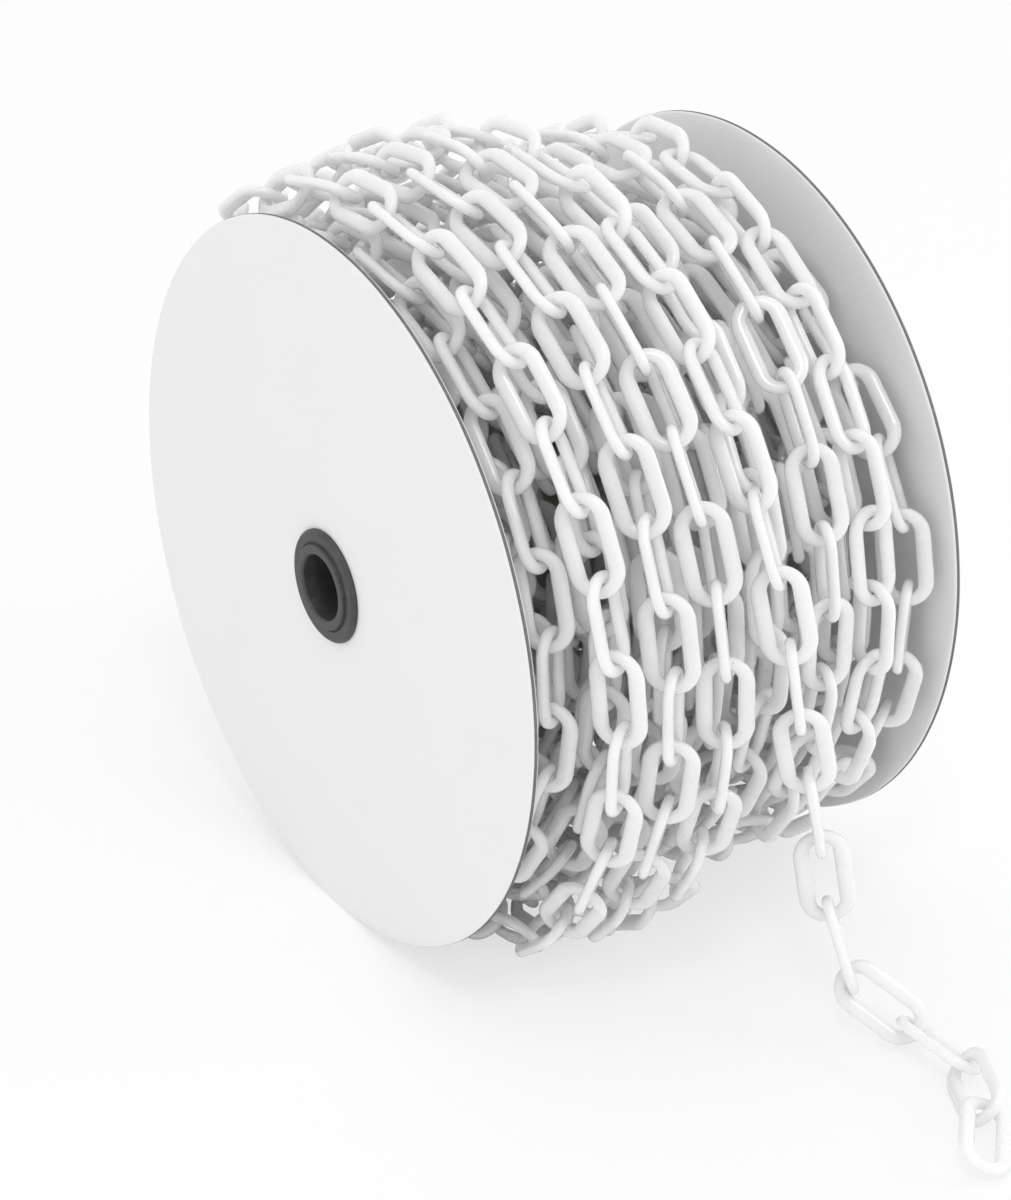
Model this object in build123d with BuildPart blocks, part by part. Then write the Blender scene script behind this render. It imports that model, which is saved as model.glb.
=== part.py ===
"""Plastic barrier chain wound on a cardboard reel, with a free end that hangs to the floor.

The reel's axis is X and its middle is the origin, +Z is up, and the free end hangs at the -Y side.
The reel stands on its two flanges. All lengths are millimetres and all angles degrees.
"""

import os
import random
from math import asin, cos, degrees, pi, radians, sin, sqrt

from build123d import *

# ---- one link -----------------------------------------------------------------------------
link_length = 38.0  # over both ends
link_width = 21.0  # over both side bars
link_thickness = 4.0  # square to the link's flat face
side_bar = 6.1  # width of a side bar, in the link's plane
end_bar = 4.6  # width of an end bar, in the link's plane
opening_length = link_length - 2 * end_bar
opening_width = link_width - 2 * side_bar
round_edge = link_thickness / 2  # both edges of every bar are fully rounded

# ---- reel ---------------------------------------------------------------------------------
flange_radius = 140.0
board_thickness = 2.0
facing_thickness = 0.25
facing_margin = 0.4  # the paper stops this far short of the board's cut edge
reel_width = 186.0  # over the outer faces of both flanges
flange_thickness = board_thickness + 2 * facing_thickness
core_length = reel_width - 2 * flange_thickness
core_radius = 37.0
core_wall = 4.0

# ---- bush ---------------------------------------------------------------------------------
bore_radius = 12.7  # a one inch arbor
sleeve_wall = 3.4
press_clearance = 0.05  # radial, between the sleeve and the flange that it is pushed into
sleeve_radius = bore_radius + sleeve_wall
flange_hole_radius = sleeve_radius + press_clearance
sleeve_depth = 18.0  # how far the sleeve reaches into the reel, from the flange's outer face
collar_radius = 22.0
collar_thickness = 2.4
collar_edge_round = 1.1
lip_radius = 16.6
lip_height = 1.2
mouth_chamfer = 0.8

# ---- how the chain is wound ---------------------------------------------------------------
link_gap = 0.4  # between the bars of two hooked links
layer_gap = 0.4  # between two layers of chain
flange_gap = 0.6  # between the outermost wraps and the flange
wrap_spacing = 22.0  # from one wrap to the next, across the reel
sideways_wander = 1.0
wander_rate = 1.37  # waves in each turn
full_layers = 5  # a part layer lies on them, from the front flange
climb_turns = 0.16  # how much of a turn the chain takes to climb on to the next layer
first_joint_radius = core_radius + 13.0
# The distance between two layers at places across the reel: the chain is wound a little unevenly.
layer_steps = [
    (-90.0, 17.6), (-60.0, 19.5), (-25.0, 20.1), (0.0, 20.0), (30.0, 22.0), (60.0, 21.6), (90.0, 18.2),
]
part_layer_edge = 2.0  # X where the part layer ends and the free end leaves
leave_angle = 63.0  # from the top, towards -Y
even_roll = 45.0  # every link is turned about the chain's line: with this roll, all lie alike
floor_clearance = 8.5  # from the joints to the floor, for a link turned to the even roll
floor_arc = 60.0  # the pack is flattened within this angle of its lowest line
floor_corner = 16  # the higher, the sharper the pack turns on to the floor
seed = 5
# From link to link the chain leans slowly from side to side, and by chance a little more.
lean_wave = 17  # links in one radian of the slow lean
lean_wave_change = 41  # links in one radian of the change in that wave's length
lean_wave_depth = 2.0
slow_lean_share = 0.75
chance_lean_share = 1 - slow_lean_share
bend_allowance = 5  # the higher, the more room a bend adds between two hooked bars
scan_steps = 20  # steps of the search for the next joint, in each link's reach
halvings = 24  # of the last step, to find the joint's exact place

# The free end, from where it leaves the pack to its last joint on the floor.
free_route = [
    (2.5, -148.5, 44.0),
    (4.5, -155.5, 17.0),
    (8.5, -156.5, -11.0),
    (14.5, -156.5, -39.0),
    (20.5, -156.0, -66.0),
    (23.5, -159.0, -93.5),
    (23.0, -173.0, -117.5),
    (34.5, -196.0, -129.0),
    (38.5, -224.0, -131.5),
    (27.5, -250.0, -131.5),
    (9.5, -271.5, -133.0),
]
# How far each free link is turned about the chain's line, from the last link inwards.
free_rolls = [66.0, 48.0, 55.0, 50.0, 34.0, 32.0, 32.0, 34.0, 32.0, 36.0, 40.0]

half_winding = core_length / 2 - flange_gap - link_width / 2 - sideways_wander
turns_per_layer = climb_turns + 2 * half_winding / wrap_spacing
part_layer_turns = climb_turns + (part_layer_edge + half_winding) / wrap_spacing
all_turns = full_layers * turns_per_layer + part_layer_turns
first_wound_radius = flange_radius  # roughly, where the free end leaves the pack
bar_middle = link_width / 2 - round_edge  # from the link's middle to the middle of its side's round edge

os.makedirs("parts", exist_ok=True)
dice = random.Random(seed)


# ---- the link, lying along X with its flat face up -------------------------------------------
def half_round(middle, side):
    """The rounded edge of a bar: a half disc that bulges towards side (+1 or -1) in the sketch's X."""
    with Locations((middle, 0)):
        Circle(round_edge)
    with Locations((middle - side * round_edge, 0)):
        Rectangle(2 * round_edge, 2 * round_edge, mode=Mode.SUBTRACT)


rims = [  # length and width of the two lines that the rounded edges follow, and the way they bulge
    (link_length - link_thickness, link_width - link_thickness, 1),
    (opening_length + link_thickness, opening_width + link_thickness, -1),
]

with BuildPart() as link:
    with BuildSketch(Plane.XY.offset(-link_thickness / 2)):
        SlotOverall(rims[0][0], rims[0][1])
        SlotOverall(rims[1][0], rims[1][1], mode=Mode.SUBTRACT)
    extrude(amount=link_thickness)
    for rim_length, rim_width, bulge in rims:
        straight = rim_length - rim_width
        for side in (1, -1):
            with BuildSketch(Plane.YZ.offset(-straight / 2)):
                half_round(side * rim_width / 2, side * bulge)
            extrude(amount=straight)
            with BuildSketch(Plane.YZ.offset(side * straight / 2)):
                half_round(rim_width / 2, bulge)
            revolve(axis=Axis((side * straight / 2, 0, 0), (0, 0, -side)), revolution_arc=180)


# ---- the reel -----------------------------------------------------------------------------
def keep(piece, name):
    """Labels a finished piece and writes it to its own file."""
    piece.label = name
    export_step(piece, f"parts/{name}.step")


sheets = [
    ("outer_facing", facing_thickness), ("board", board_thickness), ("inner_facing", facing_thickness),
]

for flange, outer_x, inward in (("front", -reel_width / 2, 1), ("back", reel_width / 2, -1)):
    depth = 0.0
    for name, thickness in sheets:
        with BuildPart() as sheet:
            with BuildSketch(Plane.YZ.offset(outer_x + inward * depth)):
                Circle(flange_radius if name == "board" else flange_radius - facing_margin)
                Circle(flange_hole_radius, mode=Mode.SUBTRACT)
            extrude(amount=inward * thickness)
        keep(sheet.part, f"{flange}_flange_{name}")
        depth += thickness

    with BuildPart() as bush:
        with BuildSketch(Plane.XZ) as profile:
            with BuildLine():
                Polyline(
                    (sleeve_depth, bore_radius),
                    (sleeve_depth, sleeve_radius),
                    (0, sleeve_radius),
                    (0, collar_radius),
                    (-collar_thickness, collar_radius),
                    (-collar_thickness, lip_radius),
                    (-collar_thickness - lip_height, lip_radius),
                    (-collar_thickness - lip_height, bore_radius + mouth_chamfer),
                    (-collar_thickness - lip_height + mouth_chamfer, bore_radius),
                    close=True,
                )
            make_face()
            corners = profile.vertices()
            collar_corners = corners.filter_by_position(Axis.X, -collar_thickness, -collar_thickness)
            fillet(collar_corners.sort_by(Axis.Y)[-1], collar_edge_round)
            lip_corners = profile.vertices().group_by(Axis.X)[0]
            fillet(lip_corners.sort_by(Axis.Y)[-1], mouth_chamfer)
        revolve(axis=Axis.X)
        if inward < 0:
            mirror(about=Plane.YZ, mode=Mode.REPLACE)
    keep(bush.part.moved(Location((outer_x, 0, 0))), f"{flange}_bush")

with BuildPart() as core_tube:
    with BuildSketch(Plane.YZ.offset(-core_length / 2)):
        Circle(core_radius)
        Circle(core_radius - core_wall, mode=Mode.SUBTRACT)
    extrude(amount=core_length)
keep(core_tube.part, "core_tube")


# ---- the chain's line -----------------------------------------------------------------------
def smooth(share):
    """Rises gently from 0 to 1 as share does."""
    share = min(max(share, 0.0), 1.0)
    return share * share * (3 - 2 * share)


def layer_step(x, angle):
    """The distance between two layers here, less where the floor flattens the pack."""
    for (low, low_step), (high, high_step) in zip(layer_steps, layer_steps[1:]):
        if x <= high:
            break
    step = low_step + (high_step - low_step) * smooth((x - low) / (high - low))
    from_bottom = abs(angle % 360 - 180)
    if from_bottom < floor_arc:
        lowest = (flange_radius - floor_clearance) / cos(radians(from_bottom))
        squeezed = (lowest - first_joint_radius) / full_layers
        step = (step**-floor_corner + squeezed**-floor_corner) ** (-1 / floor_corner)
    return step


def winding(turn):
    """The chain's line at this many turns from the core, as a point and the space between layers there."""
    layer = min(int(turn / turns_per_layer), full_layers)
    along = turn - layer * turns_per_layer
    x = max(along - climb_turns, 0.0) * wrap_spacing - half_winding
    x += sideways_wander * sin(2 * pi * wander_rate * turn)
    if (full_layers - layer) % 2:
        x = -x
    angle = leave_angle + 360 * (turn - all_turns)
    step = layer_step(x, angle)
    climbed = smooth(along / climb_turns) if layer else 1.0
    radius = first_joint_radius + (layer - 1 + climbed) * step
    point = Vector(x, -radius * sin(radians(angle)), radius * cos(radians(angle)))
    return point, step


def chain_line(place):
    """A point of the chain: place counts turns inwards from the leaving point, or free points out."""
    if place >= 0:
        return winding(all_turns - place)[0]
    points = [winding(all_turns)[0]] + [Vector(*point) for point in free_route]
    before = min(int(-place), len(free_route) - 1)
    return points[before] + (points[before + 1] - points[before]) * (-place - before)


def bar_offset(bend):
    """How far the middle of a bar's round edge lies from the joint, so that hooked bars clear."""
    return (link_thickness + link_gap) / 2 / cos(radians(bend / 2)) ** bend_allowance


def step_along(place, links):
    """The place this many links further in; places count points on the free part and turns when wound."""
    if place < 0:
        place += links
        reach = opening_length / (2 * pi * first_wound_radius)
        return place if place < 0 else place * reach
    point = chain_line(place)
    reach = opening_length / (2 * pi * sqrt(point.Y**2 + point.Z**2))
    place += links * reach
    return place if place >= 0 else place / reach


def joint_offset(place):
    """The bar offset that the chain's bend at this place needs."""
    outer_place = step_along(place, -1)
    if outer_place < -len(free_route):
        return bar_offset(0)
    before, here, after = (chain_line(at) for at in (outer_place, place, step_along(place, 1)))
    return bar_offset((here - before).get_angle(after - here))


def next_joint(place):
    """The place one link further in along the chain."""
    here = chain_line(place)
    pitch = opening_length + link_thickness - joint_offset(place) - joint_offset(step_along(place, 1))
    near, far = place, place
    while (chain_line(far) - here).length < pitch:
        near, far = far, step_along(far, 1 / scan_steps)
    for _ in range(halvings):
        middle = (near + far) / 2
        if (chain_line(middle) - here).length < pitch:
            near = middle
        else:
            far = middle
    return far


def link_plane(place, inner_place, roll):
    """The plane of the link between two joints, turned by roll about the line that joins them."""
    outer, inner = chain_line(place), chain_line(inner_place)
    along = (outer - inner).normalized()
    across = (Vector(1, 0, 0) - along * along.X).normalized()
    width_way = across * cos(radians(roll)) + along.cross(across) * sin(radians(roll))
    middle = (outer + inner + along * (joint_offset(place) - joint_offset(inner_place))) / 2
    return Plane(origin=middle, x_dir=along, z_dir=along.cross(width_way))


def roll_room(step):
    """How far a link may turn from the even roll before it reaches the next layer."""
    reach = (step / 2 - round_edge - layer_gap / 2) / bar_middle
    return max(degrees(asin(min(reach, 1.0))) - even_roll, 0.0)


# ---- the free end: every link is a piece of its own -------------------------------------------
place = float(-len(free_route))
for number, roll in enumerate(free_rolls, start=1):
    inner = next_joint(place)
    plane = link_plane(place, inner, roll + 90 * (number % 2))
    keep(link.part.moved(plane.location), f"free_link_{number:02d}")
    place = inner

# ---- the wound chain: the links of each outer wrap, and of each inner layer, share a node ------
wound = {}
number = len(free_rolls)
while True:
    inner = next_joint(place)
    turn = all_turns - inner
    if turn < 0:
        break
    number += 1
    layer = min(int(turn / turns_per_layer), full_layers) + 1
    wrap = int(turn - (layer - 1) * turns_per_layer) + 1
    name = f"chain_layer_{layer}"
    if layer >= full_layers:
        name += f"_wrap_{wrap}"
    room = roll_room(winding(turn)[1])
    slow_lean = sin(number / lean_wave + lean_wave_depth * sin(number / lean_wave_change))
    lean = slow_lean_share * slow_lean + chance_lean_share * dice.uniform(-1, 1)
    roll = even_roll + room * lean
    plane = link_plane(place, inner, roll + 90 * (number % 2))
    wound.setdefault(name, []).append(plane.location)
    place = inner

# The links of a wrap hang in one another without touching, so a wrap is a compound of them, not one solid.
for name, places in wound.items():
    keep(Compound(children=[link.part.moved(place) for place in places]), name)

print("links wound on the reel:", number - len(free_rolls), "free:", len(free_rolls))
print("chain length, metres:", round(number * (opening_length - link_gap) / 1000, 1))
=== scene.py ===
# %% [markdown]
# # Barrier chain on a cardboard reel
# This notebook dresses a finished CAD model of a reel of white plastic barrier chain. The CAD parts are
# loaded first and never moved. Each step below then either gives a CAD part a better finish, or puts a
# more finely moulded piece exactly where the CAD part is. Everything is in metres, the reel's axis is X
# and Z is up.

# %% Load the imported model
import math
import random

import bpy
import numpy as np
from mathutils import Matrix, Vector


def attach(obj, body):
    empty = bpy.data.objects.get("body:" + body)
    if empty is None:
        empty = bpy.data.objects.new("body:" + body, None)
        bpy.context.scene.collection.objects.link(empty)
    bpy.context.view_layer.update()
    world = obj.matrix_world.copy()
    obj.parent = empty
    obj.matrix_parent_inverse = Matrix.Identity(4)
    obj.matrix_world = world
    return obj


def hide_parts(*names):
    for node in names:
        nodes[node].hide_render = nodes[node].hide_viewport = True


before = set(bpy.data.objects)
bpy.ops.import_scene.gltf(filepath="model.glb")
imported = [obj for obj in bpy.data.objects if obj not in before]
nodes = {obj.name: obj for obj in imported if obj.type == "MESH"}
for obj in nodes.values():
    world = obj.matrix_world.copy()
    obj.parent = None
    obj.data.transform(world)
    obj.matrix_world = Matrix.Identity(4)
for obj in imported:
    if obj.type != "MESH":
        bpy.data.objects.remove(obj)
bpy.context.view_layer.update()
MM = 0.001

# %% [markdown]
# ## Camera
# A reel seen from a little above its front flange, with a long lens so that both round flanges keep
# nearly the same size. The camera is built from the way it looks and the way its right side points,
# because those two are easier to read than three angles.

# %% Camera
look = Vector((0.47, 0.737, -0.485)).normalized()
right = Vector((0.843, -0.537, 0.0)).normalized()
up = right.cross(look)
stand = Vector((-0.734, -1.128, 0.713))
camera_data = bpy.data.cameras.new("camera")
camera_data.lens = 120
camera_data.sensor_width = 36
camera = bpy.data.objects.new("camera", camera_data)
bpy.context.collection.objects.link(camera)
turn_of_camera = Matrix((right, up, -look)).transposed()
camera.matrix_world = Matrix.Translation(stand) @ turn_of_camera.to_4x4()
bpy.context.scene.camera = camera
bpy.context.scene.view_settings.view_transform = "Standard"
print("camera looks along", [round(v, 3) for v in look])

# %% [markdown]
# ## Shader sums
# A procedural finish is a small calculation for each point of a surface. Wiring it by hand takes many
# nodes, so a socket is wrapped in a class whose plus, minus and times add the Math nodes. With it a
# finish reads like a formula.


# %% A socket that can be calculated with
class Amount:
    """A number that changes over a surface: a node's output, with the usual sums."""

    def __init__(self, finish, socket):
        self.finish, self.socket = finish, socket

    def sum(self, operation, *others):
        values = {place: value for place, value in enumerate(others)}
        return self.finish.node("ShaderNodeMath", {"operation": operation}, values)

    def __add__(self, other):
        return self.sum("ADD", self, other)

    __radd__ = __add__

    def __sub__(self, other):
        return self.sum("SUBTRACT", self, other)

    def __rsub__(self, other):
        return self.sum("SUBTRACT", other, self)

    def __mul__(self, other):
        return self.sum("MULTIPLY", self, other)

    __rmul__ = __mul__

    def size(self):
        return self.sum("ABSOLUTE", self)


print("sums ready: + - * size")

# %% [markdown]
# ## One method for every other node
# Any other node is made the same way: its type, then its settings, then a value or a link for each of
# its sockets. One method does all three, so a finish is a list of short calls. The same method serves
# the materials and the sky, which are all node trees.


# %% A node tree with one way to add a node
class Wiring:
    """A node tree, and the one method that adds a node to it."""

    def __init__(self, tree):
        self.tree = tree

    def feed(self, node, values):
        """Sets each socket to a value, or links an amount to it."""
        for key, value in values.items():
            if isinstance(value, Amount):
                self.tree.links.new(value.socket, node.inputs[key])
            else:
                node.inputs[key].default_value = value

    def node(self, kind, settings=None, values=None, out=0):
        made = self.tree.nodes.new(kind)
        for key, value in (settings or {}).items():
            setattr(made, key, value)
        self.feed(made, values or {})
        return Amount(self, made.outputs[out])


print("wiring ready")

# %% [markdown]
# ## A finish
# A finish is one material: a Principled shader, and what changes over its surface. Five helpers cover
# what the papers and plastics here need: a blend of two colours, a noise, a ramp that turns a noise
# into patches, the place of a point, and a bump. Places are in the object's own metres, so that a
# grain keeps its real scale on every piece.


# %% A finish
class Finish(Wiring):
    """One material: a Principled shader and the nodes that feed it."""

    def __init__(self, name, **settings):
        self.material = bpy.data.materials.new(name)
        self.material.use_nodes = True
        super().__init__(self.material.node_tree)
        self.tree.nodes.clear()
        self.out = self.tree.nodes.new("ShaderNodeOutputMaterial")
        self.shader = self.tree.nodes.new("ShaderNodeBsdfPrincipled")
        self.tree.links.new(self.shader.outputs[0], self.out.inputs["Surface"])
        self.use(**settings)

    def blend(self, amount, first, second):
        """A colour between two others."""
        colours = {6: first if isinstance(first, Amount) else (*first, 1)}
        colours[7] = second if isinstance(second, Amount) else (*second, 1)
        return self.node("ShaderNodeMix", {"data_type": "RGBA"}, {0: amount, **colours}, out=2)

    def noise(self, scale, where, detail=2.0, roughness=0.5):
        values = {"Scale": scale, "Detail": detail, "Roughness": roughness, "Vector": where}
        return self.node("ShaderNodeTexNoise", None, values)

    def ramp(self, amount, low, high):
        """0 below low, 1 above high, straight between."""
        values = {0: amount, 1: low, 2: high, 3: 0.0, 4: 1.0}
        return self.node("ShaderNodeMapRange", {"clamp": True}, values)

    def place(self, stretch=(1, 1, 1)):
        """Where a point is, in metres, stretched along some axes."""
        at = self.node("ShaderNodeTexCoord", out=3)
        return self.node("ShaderNodeMapping", None, {"Vector": at, "Scale": stretch})

    def raise_by(self, height, distance, strength=1.0):
        values = {"Height": height, "Distance": distance, "Strength": strength}
        self.feed(self.shader, {"Normal": self.node("ShaderNodeBump", None, values)})

    def use(self, **values):
        """Feeds the shader's sockets: Base_Color is its Base Color."""
        self.feed(self.shader, {key.replace("_", " "): value for key, value in values.items()})


print("finish ready")

# %% [markdown]
# ## Chain plastic
# The chain is injection moulded polyethylene or nylon: bright white, a little waxy, and slightly
# translucent, so its shadows stay soft. That is subsurface scattering, with a coat over it for the
# wet shine. Under the gloss there are faint flow marks, a few specks, and a fine parting line where
# the two halves of the mould met. The moulded links carry their own coordinates ("on_link", in
# millimetres), so that the line follows every link whichever way it is turned, and a number each
# ("tint"), so that no two are quite the same white. The inner layers have neither, and their white
# is painted paler than the outer links': painted light, standing in for the light that passes
# through other links into the shaded gaps.


# %% Chain plastic
SEAM_REACH, SEAM_SLOPE = 0.22, 0.16  # the parting line's half width and its slope, in millimetres


def chain_plastic(name, moulded):
    finish = Finish(name, IOR=1.5, Subsurface_Weight=1.0, Subsurface_Scale=0.010)
    finish.use(Subsurface_Radius=(1.0, 1.0, 0.95), Coat_Roughness=0.07, Coat_Weight=0.8)
    at = finish.place()
    clouds = finish.noise(38.0, at, 3.0)
    specks = finish.ramp(finish.noise(900.0, at, 1.0), 0.775, 0.80)
    grain = finish.noise(2600.0, at, 2.0)
    if moulded:
        tone = finish.blend(clouds, (0.87, 0.875, 0.88), (0.91, 0.91, 0.905))
        link = finish.node("ShaderNodeAttribute", {"attribute_name": "on_link"}, out=1)
        tint = finish.node("ShaderNodeAttribute", {"attribute_name": "tint"}, out=2)
        above_middle = finish.node("ShaderNodeSeparateXYZ", None, {0: link}, out=2)
        seam = finish.ramp(SEAM_REACH - above_middle.size(), 0.0, SEAM_SLOPE)
        streaks = finish.noise(0.5, link, 3.0)
        tone = finish.blend(tint * 0.35, tone, (0.875, 0.872, 0.852))
        tone = finish.blend(finish.ramp(streaks, 0.62, 0.8) * 0.3, tone, (0.82, 0.83, 0.84))
        height = grain * 0.10 + streaks * 0.25 + seam * 0.55
    else:
        # Painted light: the inner layers' white is painted paler than the outer links' white, to brighten
        # the shaded gaps.
        tone = finish.blend(clouds, (0.93, 0.935, 0.94), (0.965, 0.965, 0.96))
        height = grain * 0.10 + clouds * 0.25
    finish.use(Base_Color=finish.blend(specks * 0.55, tone, (0.30, 0.29, 0.27)))
    finish.use(Roughness=0.18 + finish.ramp(clouds, 0.3, 0.7) * 0.12 + grain * 0.06)
    finish.raise_by(height, 0.00012, 0.6)
    return finish.material


white_links = chain_plastic("chain_plastic", True)
inner_plastic_painted_paler = chain_plastic("chain_plastic_inner_painted_paler", False)
print("chain plastics made")

# %% [markdown]
# ## Papers and boards
# Each flange is a disc of grey recycled board between two sheets of white coated paper. The paper is
# smooth with a soft sheen, and shows the board's slight unevenness and a few scuffs.

# %% Coated paper
paper = Finish("facing_paper", Specular_IOR_Level=0.4)
at = paper.place()
mottle = paper.noise(22.0, at, 3.0)
fibres = paper.noise(1400.0, paper.place((0.35, 1, 1)), 4.0, 0.65)
scuffs = paper.ramp(paper.noise(9.0, paper.place((1, 4, 0.6)), 5.0, 0.7), 0.66, 0.84)
white = paper.blend(mottle, (0.865, 0.865, 0.867), (0.89, 0.89, 0.89))
paper.use(Base_Color=paper.blend(scuffs * 0.25, white, (0.80, 0.80, 0.795)))
paper.use(Roughness=0.46 + mottle * 0.12 + scuffs * 0.15)
paper.raise_by(fibres * 0.25 + mottle * 0.75, 0.0003, 0.35)
print("coated paper made")

# %% [markdown]
# ## Cut board and core paper
# The board's cut edge is raw: it shows plies, fibres and flecks. The plies lie square to the reel's
# axis, so the noise that draws them is fine along X and stretched long the other two ways. The core is
# a tube of pale paper with a coarse grain, and hardly shows between the links.

# %% Cut board and core paper
board = Finish("greyboard", Specular_IOR_Level=0.2)
plies = board.noise(2400.0, board.place((1, 0.02, 0.02)), 2.0)
flecks = board.ramp(board.noise(1500.0, board.place((1, 0.4, 0.4)), 3.0), 0.6, 0.7)
pulp = board.noise(420.0, board.place(), 4.0, 0.7)
grey = board.blend(plies * 0.6 + pulp * 0.4, (0.11, 0.11, 0.112), (0.27, 0.265, 0.255))
board.use(Base_Color=board.blend(flecks * 0.5, grey, (0.42, 0.41, 0.39)))
board.use(Roughness=0.86 + pulp * 0.1)
board.raise_by(plies * 0.5 + pulp * 0.5, 0.0004, 0.8)

core_paper = Finish("core_paper", Specular_IOR_Level=0.3)
grain = core_paper.noise(700.0, core_paper.place((0.2, 1, 1)), 4.0, 0.6)
core_paper.use(Base_Color=core_paper.blend(grain, (0.50, 0.45, 0.38), (0.66, 0.62, 0.55)))
core_paper.use(Roughness=0.75 + grain * 0.15)
core_paper.raise_by(grain, 0.0003, 0.5)
print("board and core paper made")

# %% [markdown]
# ## Bush plastic
# The bushes are turned or moulded in black plastic. Their colour is never a perfect black: dust and
# handling lighten it, most of all on the collar, and a fine matt grain breaks up the shine.

# %% Bush plastic
black = Finish("bush_plastic", IOR=1.48)
at = black.place()
dust = black.ramp(black.noise(160.0, at, 5.0, 0.7), 0.45, 0.8)
grain = black.noise(3500.0, at, 2.0)
rubs = black.ramp(black.noise(420.0, black.place((1, 0.25, 1)), 3.0), 0.6, 0.75)
black.use(Base_Color=black.blend(dust * 0.5 + rubs * 0.3, (0.045, 0.045, 0.047), (0.125, 0.125, 0.128)))
black.use(Roughness=0.42 + dust * 0.18 + grain * 0.08)
black.raise_by(grain * 0.6 + rubs * 0.4, 0.00015, 0.5)
print("bush plastic made")


# %% [markdown]
# ## One moulded link
# A link is a closed oval ring. Its bars are wider than they are thick, its ends are thinner than its
# sides, and every edge is round. It could be a curve with a bevel, but then the section could not
# change from side to end. So the section is drawn round a loop: at each step an inner and an outer
# point say how wide the bar is, and a rounded section is laid between them. Its broad faces are very
# slightly crowned, as moulded plastic is: the section is a superellipse, a little squarer than an oval.


# %% One moulded link
LINK_LENGTH, LINK_WIDTH, LINK_THICK = 38.0, 21.0, 4.0
SIDE_BAR, END_BAR = 6.1, 4.6
OPENING_LENGTH, OPENING_WIDTH = LINK_LENGTH - 2 * END_BAR, LINK_WIDTH - 2 * SIDE_BAR
SQUARENESS = 2.2  # of a bar's section: 2 is an oval


def oval_points(length, width, straight_steps, arc_steps):
    """Points round an oval with half-round ends, in step with any other oval of these counts."""
    radius = width / 2
    half = length / 2 - radius
    points = []
    for end in (1, -1):
        for step in range(straight_steps):
            share = step / straight_steps
            points.append((end * half * (2 * share - 1), -end * radius))
        for step in range(arc_steps):
            turn = math.pi * (step / arc_steps - 0.5)
            points.append((end * (half + radius * math.cos(turn)), end * radius * math.sin(turn)))
    return np.array(points)


def link_form(straight_steps, arc_steps, ring_steps):
    """The points and the four-sided faces of one link, flat in XY and long in X, in millimetres."""
    outer = oval_points(LINK_LENGTH, LINK_WIDTH, straight_steps, arc_steps)
    inner = oval_points(OPENING_LENGTH, OPENING_WIDTH, straight_steps, arc_steps)
    turns = 2 * math.pi * np.arange(ring_steps) / ring_steps
    across = np.sign(np.cos(turns)) * np.abs(np.cos(turns)) ** (2 / SQUARENESS)
    thick = np.sign(np.sin(turns)) * np.abs(np.sin(turns)) ** (2 / SQUARENESS) * LINK_THICK / 2
    middle, half = (outer + inner) / 2, (outer - inner) / 2
    points = np.zeros((len(outer), ring_steps, 3))
    points[:, :, :2] = middle[:, None] + half[:, None] * across[None, :, None]
    points[:, :, 2] = thick[None, :]
    row = np.arange(len(outer))[:, None] * ring_steps
    column = np.arange(ring_steps)[None, :]
    next_row = (row + ring_steps) % (len(outer) * ring_steps)
    next_column = (column + 1) % ring_steps
    corners = (row + column, row + next_column, next_row + next_column, next_row + column)
    faces = np.stack(np.broadcast_arrays(*corners), -1)
    return points.reshape(-1, 3), faces.reshape(-1, 4)


fine_link = link_form(6, 16, 18)
print("one link:", len(fine_link[0]), "points,", len(fine_link[1]), "faces")


# %% [markdown]
# ## Where each link lies
# A wound wrap is one CAD node made of many separate links. To lay a moulded link over each of them, the
# node's mesh is taken apart into its islands: points in the same place are made one, and then each
# point takes the lowest number among its neighbours until nothing changes.


# %% The islands of a mesh
PER_METRE = 1e6  # points are counted as one when they agree to a micrometre


def islands(node):
    """The triangles of each separate solid in a CAD node, each as three points in metres."""
    mesh = nodes[node].data
    points = np.empty(len(mesh.vertices) * 3)
    mesh.vertices.foreach_get("co", points)
    points = points.reshape(-1, 3)
    mesh.calc_loop_triangles()
    corners = np.empty(len(mesh.loop_triangles) * 3, dtype=int)
    mesh.loop_triangles.foreach_get("vertices", corners)
    spots, spot_of = np.unique(np.round(points * PER_METRE).astype(int), axis=0, return_inverse=True)
    triangles = spot_of.reshape(-1)[corners].reshape(-1, 3)
    group = np.arange(len(spots))
    while True:
        lowest = group[triangles].min(axis=1)
        before = group.copy()
        for corner in range(3):
            np.minimum.at(group, triangles[:, corner], lowest)
        group = group[group]
        if (group == before).all():
            break
    spots = spots / PER_METRE
    group_of_triangle = group[triangles[:, 0]]
    return [spots[triangles[group_of_triangle == island]] for island in np.unique(group_of_triangle)]


print("islands ready")

# %% [markdown]
# ## How each link lies
# Every island has the same form, so its own moments give its middle and its three directions: the
# longest is along the link, the shortest is square to its face. A triangle's moment is that of its
# three corners and nine times that of its centre, times its area.


# %% How each link lies
def link_places(node):
    """The middle and the three directions of every link in a CAD node."""
    places = []
    for own in islands(node):
        areas = np.linalg.norm(np.cross(own[:, 1] - own[:, 0], own[:, 2] - own[:, 0]), axis=1) / 2
        middle = (own.mean(axis=1) * areas[:, None]).sum(axis=0) / areas.sum()
        own = own - middle
        centres = own.mean(axis=1)
        moments = np.einsum("t,tki,tkj->ij", areas, own, own)
        moments += 9 * np.einsum("t,ti,tj->ij", areas, centres, centres)
        ways = np.linalg.eigh(moments)[1][:, ::-1].T
        if np.linalg.det(ways) < 0:
            ways[2] = -ways[2]
        places.append((middle, ways))
    return places


print("links in the outermost wrap:", len(link_places("chain_layer_6_wrap_4")))

# %% [markdown]
# ## Laying the links
# All links of a node go into one mesh, because they never move against each other. The mesh carries
# the two attributes that the chain plastic reads.


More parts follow.
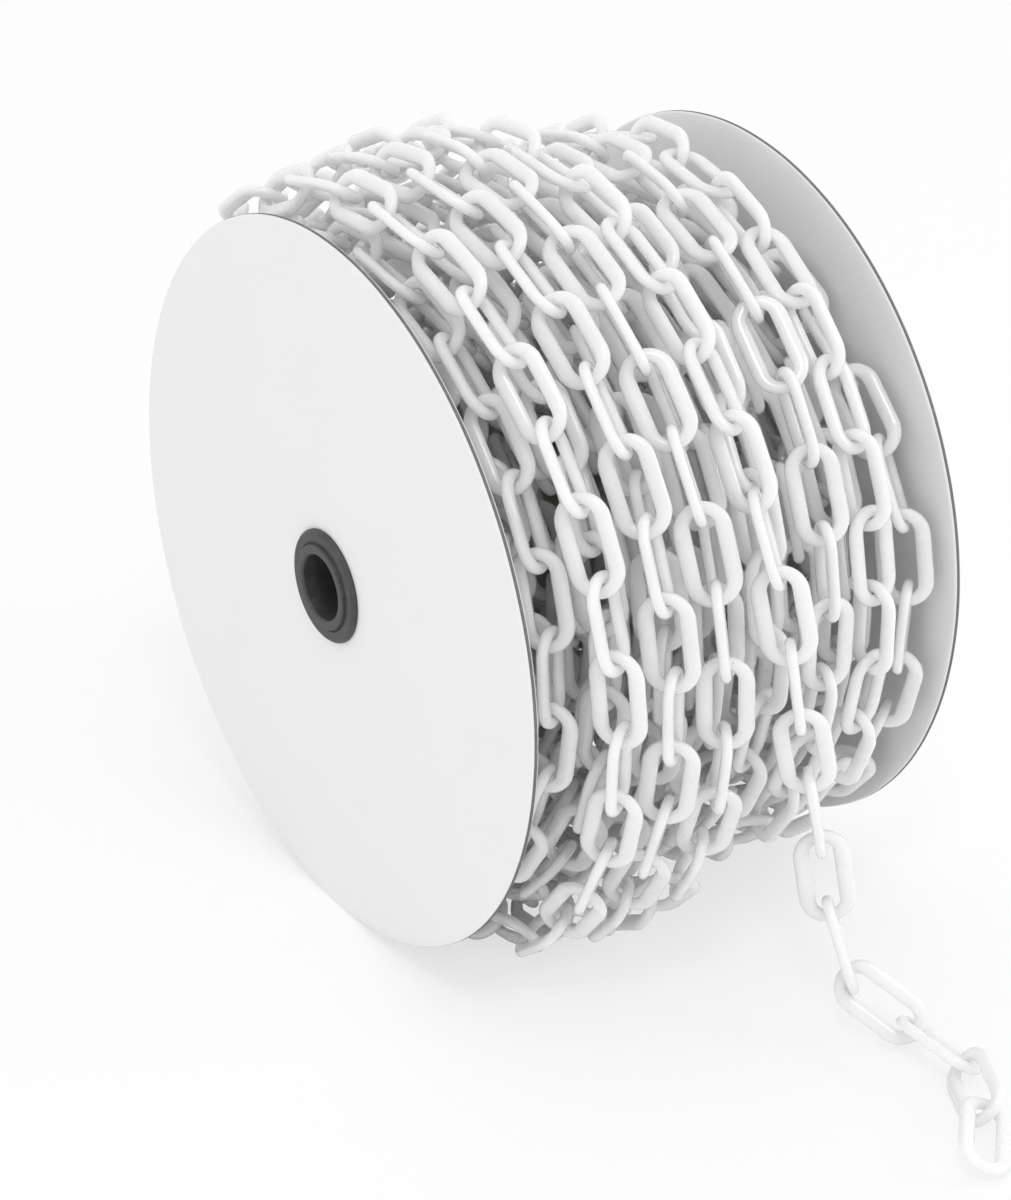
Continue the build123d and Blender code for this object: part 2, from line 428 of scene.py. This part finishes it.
# %% Laying the links
def mould_links(name, node, body, form, finish):
    """One mesh with a moulded link over every link of a CAD node."""
    places = link_places(node)
    form_points, form_faces = form
    dice = random.Random(node)
    points, faces = [], []
    for number, (middle, ways) in enumerate(places):
        points.append(middle + form_points * MM @ ways)
        faces.append(form_faces + number * len(form_points))
    mesh = bpy.data.meshes.new(name)
    mesh.from_pydata(np.concatenate(points).tolist(), [], np.concatenate(faces).tolist())
    mesh.shade_smooth()
    on_link = mesh.attributes.new("on_link", "FLOAT_VECTOR", "POINT")
    on_link.data.foreach_set("vector", np.tile(form_points, (len(places), 1)).ravel())
    tint = mesh.attributes.new("tint", "FLOAT", "POINT")
    tint.data.foreach_set("value", np.repeat([dice.random() for _ in places], len(form_points)))
    mesh.materials.append(finish)
    piece = bpy.data.objects.new(name, mesh)
    bpy.context.collection.objects.link(piece)
    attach(piece, body)
    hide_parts(node)
    return len(places)


print("ready to lay links")

# %% [markdown]
# ## The outer wraps and the free end
# The two outer layers are what is seen, so their links are replaced one for one. The free end's links
# each ride on a body of their own, because each of them swings on the one before it.

# %% The outer wraps and the free end
laid = 0
for node in sorted(nodes):
    if "_wrap_" in node:
        laid += mould_links(node.replace("chain", "moulded"), node, "reel", fine_link, white_links)
    elif node.startswith("free_link_"):
        laid += mould_links(node.replace("free", "moulded_free"), node, node, fine_link, white_links)
print("moulded links laid:", laid)

# %% [markdown]
# ## Inner layers and core
# The inner layers and the core hardly show, so their CAD shapes stay and only get their finish.


# %% Inner layers and core
INNER_LAYERS = 4


def dress(node, finish):
    """Gives a CAD piece its finish."""
    mesh = nodes[node].data
    mesh.materials.clear()
    mesh.materials.append(finish)


# The inner layers take the plastic whose white is painted paler, as painted light for the shaded gaps.
for layer in range(1, INNER_LAYERS + 1):
    dress(f"chain_layer_{layer}", inner_plastic_painted_paler)
dress("core_tube", core_paper.material)
print("inner pieces dressed")


# %% [markdown]
# ## Turned pieces
# The flanges and the bushes are all round about the reel's axis, so each is a profile turned about X.
# A lathe in code keeps sharp control: a profile is a list of points (along the axis, from the axis),
# and small rounds are put on its corners first.


# %% A lathe about X
MOST_OF_A_SIDE = 1 / 2.2  # how much of a side a round may take: under half, so that two never meet


def rounded(profile, radius, steps=4):
    """The profile with each corner replaced by a small round."""
    made = []
    for number, here in enumerate(profile):
        here = Vector(here)
        before, after = Vector(profile[number - 1]), Vector(profile[(number + 1) % len(profile)])
        to_before, to_after = before - here, after - here
        reach = min(radius, to_before.length * MOST_OF_A_SIDE, to_after.length * MOST_OF_A_SIDE)
        start, end = here + to_before.normalized() * reach, here + to_after.normalized() * reach
        for step in range(steps + 1):
            share = step / steps
            made.append(start * (1 - share) ** 2 + here * 2 * share * (1 - share) + end * share**2)
    return made


def turn(name, profile, node, slot_name, finish, steps, ripple=None):
    """A piece turned about X, in place of a CAD node. A ripple moves its points a little by angle."""
    points, faces = [], []
    for step in range(steps):
        angle = 2 * math.pi * step / steps
        for along, out in profile:
            if ripple:
                along, out = ripple(along, out, angle)
            points.append((along * MM, -out * MM * math.sin(angle), out * MM * math.cos(angle)))
    count = len(profile)
    for step in range(steps):
        other = (step + 1) % steps
        for place in range(count):
            after = (place + 1) % count
            here, there = step * count, other * count
            faces.append((here + place, here + after, there + after, there + place))
    mesh = bpy.data.meshes.new(name)
    mesh.from_pydata(points, [], faces)
    mesh.shade_smooth()
    mesh.materials.append(finish)
    piece = bpy.data.objects.new(name, mesh)
    bpy.context.collection.objects.link(piece)
    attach(piece, "reel")
    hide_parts(node)


print("lathe ready")

# %% [markdown]
# ## Flanges
# Die cutting leaves a board a hair out of round and slightly fuzzy, and presses the paper's edge down
# round the rim, so that the raw edge shows only as a thin grey line. The facings are nearly flat, but a
# large glued disc is never perfectly so: a slow wave of a tenth of a millimetre is enough to move the
# light across it. Both are written as small sums of sines of the angle round the disc.

# %% How the flanges are out of true
RIM, HOLE, PAPER, BOARD, OUTER = 140.0, 16.15, 0.25, 2.0, 93.0
# The bush holds a facing flat up to the first radius, and it waves fully past the second.
CLAMPED, LOOSE = 24, 124


def worn_rim(along, out, angle):
    """A cut edge that is slightly out of round."""
    if out > RIM - 0.6:
        out -= 0.07 + 0.035 * math.sin(7 * angle + 1) + 0.025 * math.sin(23 * angle)
        out -= 0.01 * math.sin(61 * angle)
    return along, out


def slow_wave(along, out, angle):
    """A facing that is slightly wavy, more so away from the bush."""
    along, out = worn_rim(along, out, angle)
    share = min(max(out - CLAMPED, 0) / (LOOSE - CLAMPED), 1)
    return along + 0.06 * share * math.sin(2 * angle + 0.6) + 0.03 * share * math.sin(5 * angle), out


print("rim and wave ready")

# %% [markdown]
# ## The three plies
# Each flange is turned in three pieces, as it is glued up: facing, board, facing. The board's corners
# are pressed in to a small slope, and each facing's edge lies down on that slope.

# %% The three plies
FACE_RADII = [HOLE, 22.5, 24, 40, 60, 80, 100, 120, 132, 137]
# A facing's pressed edge, as (depth below the face, radius).
PRESSED = [(0.04, RIM - 0.8), (0.16, RIM - 0.35), (0.40, RIM - 0.12), (0.62, RIM - 0.05)]
SLOPE_START, SLOPE_END, SLOPE_DEPTH, EDGE_DEPTH = RIM - 1.1, RIM - 0.25, 0.37, 0.4
ROUND_STEPS = 256

for side, name in ((-1, "front"), (1, "back")):
    face = side * OUTER
    inside = side * (OUTER - 2 * PAPER - BOARD)
    plies = [("outer_facing", face, face - side * PAPER), ("inner_facing", inside + side * PAPER, inside)]
    for ply, start, end in plies:
        showing, glued = (start, end) if ply == "outer_facing" else (end, start)
        way = 1 if showing > glued else -1
        profile = [Vector((showing, radius)) for radius in FACE_RADII]
        profile += [Vector((showing - way * down, out)) for down, out in PRESSED]
        profile += [Vector((glued - way * SLOPE_DEPTH, SLOPE_END)), Vector((glued, SLOPE_START))]
        profile += [Vector((glued, radius)) for radius in reversed(FACE_RADII)]
        made, replaced = f"{name}_{ply}_paper", f"{name}_flange_{ply}"
        turn(made, profile, replaced, "facing_paper", paper.material, ROUND_STEPS, slow_wave)
    low, high = sorted((face - side * PAPER, inside + side * PAPER))
    profile = [(low, HOLE), (high, HOLE), (high, SLOPE_START), (high - SLOPE_DEPTH, SLOPE_END)]
    profile += [(high - EDGE_DEPTH, RIM), (low + EDGE_DEPTH, RIM)]
    profile += [(low + SLOPE_DEPTH, SLOPE_END), (low, SLOPE_START)]
    made, replaced = f"{name}_greyboard", f"{name}_flange_board"
    turn(made, profile, replaced, "greyboard", board.material, ROUND_STEPS, worn_rim)
print("flanges turned")

# %% [markdown]
# ## Bushes
# Each bush is a sleeve with a wide thin collar that holds the flange, and a raised lip round the bore.
# The collar's outer edge is well rounded and a shallow groove separates it from the lip, which catches
# a fine line of light. The profile is a list of (depth into the reel from the flange's face, radius).

# %% Bushes
BORE, SLEEVE, COLLAR = 12.7, 16.1, 22.0
CORNER_ROUND, BUSH_STEPS = 0.35, 128
sleeve = [(18.0, BORE), (18.0, SLEEVE), (0.0, SLEEVE), (0.0, COLLAR)]
collar = [(-1.2, COLLAR), (-2.3, 21.0), (-2.4, 19.8), (-2.4, 17.3)]
groove = [(-2.0, 17.0), (-2.0, 16.7)]
lip = [(-3.4, 16.5), (-3.6, 16.0), (-3.6, 13.6), (-3.1, 12.8), (-2.6, BORE)]
for side, name in ((-1, "front"), (1, "back")):
    shaped = rounded(sleeve + collar + groove + lip, CORNER_ROUND)
    shaped = [(side * (OUTER - depth), out) for depth, out in shaped]
    turn(f"{name}_bush_moulding", shaped, f"{name}_bush", "bush_plastic", black.material, BUSH_STEPS)
print("bushes turned")

# %% [markdown]
# ## Floor
# The reel stands on a white studio floor. Two thirds of the floor's brightness for the camera is its
# own, so that it stays white while the object's soft shadow still shows.

# %% Floor
FLOOR, FLOOR_REACH = -0.1401, 6  # height, and half the width, in metres
OWN_SHARE = 0.66

floor_finish = Finish("studio_floor", Roughness=0.7, Base_Color=(0.96, 0.96, 0.96, 1))
seen = floor_finish.node("ShaderNodeLightPath", out=0)
glow = floor_finish.node("ShaderNodeEmission", None, {"Strength": 1.0})
lit = Amount(floor_finish, floor_finish.shader.outputs[0])
both = floor_finish.node("ShaderNodeMixShader", None, {0: seen * OWN_SHARE, 1: lit, 2: glow})
floor_finish.feed(floor_finish.out, {"Surface": both})
floor_mesh = bpy.data.meshes.new("studio_floor")
floor_corners = [(x * FLOOR_REACH, y * FLOOR_REACH, FLOOR) for x, y in ((-1, -1), (1, -1), (1, 1), (-1, 1))]
floor_mesh.from_pydata(floor_corners, [], [(0, 1, 2, 3)])
floor_mesh.materials.append(floor_finish.material)
floor = bpy.data.objects.new("studio_floor", floor_mesh)
bpy.context.collection.objects.link(floor)
print("floor laid at", FLOOR)

# %% [markdown]
# ## Sky
# A broad white sky lights everything evenly. The camera and shiny surfaces see it as pure white, at a
# strength of 1; the light that it gives is a little less, so that white plastic stays below white.

# %% Sky
SKY_LIGHT, SKY_SEEN = 0.91, 1.0

world = bpy.data.worlds.new("sky")
bpy.context.scene.world = world
world.use_nodes = True
sky = Wiring(world.node_tree)
to_camera = sky.node("ShaderNodeLightPath", out="Is Camera Ray")
to_shine = sky.node("ShaderNodeLightPath", out="Is Glossy Ray")
seen = to_camera.sum("MAXIMUM", to_camera, to_shine)
strength = sky.node("ShaderNodeMapRange", None, {"Value": seen, "To Min": SKY_LIGHT, "To Max": SKY_SEEN})
sky.feed(sky.tree.nodes["Background"], {"Color": (1, 1, 1, 1), "Strength": strength})
print("sky ready")

# %% [markdown]
# ## Lamps
# Two round lamps, above the front flange and low at the right, give the plastic its highlights. They
# are small for their distance, because a large lamp would only add to the even light of the sky.


# %% Lamps
def lamp(name, place, aim, size, power):
    """A round lamp that points at a place."""
    data = bpy.data.lights.new(name, "AREA")
    data.shape = "DISK"
    data.size, data.energy = size, power
    made = bpy.data.objects.new(name, data)
    made.location = place
    made.rotation_mode = "QUATERNION"
    made.rotation_quaternion = (Vector(aim) - Vector(place)).to_track_quat("-Z", "Y")
    bpy.context.collection.objects.link(made)


lamp("key_lamp", (-0.6, -1.0, 1.9), (0, 0, 0), 0.4, 6)
lamp("fill_lamp", (1.8, -1.2, 0.9), (0, -0.05, -0.05), 0.4, 5)
print("lamps ready")
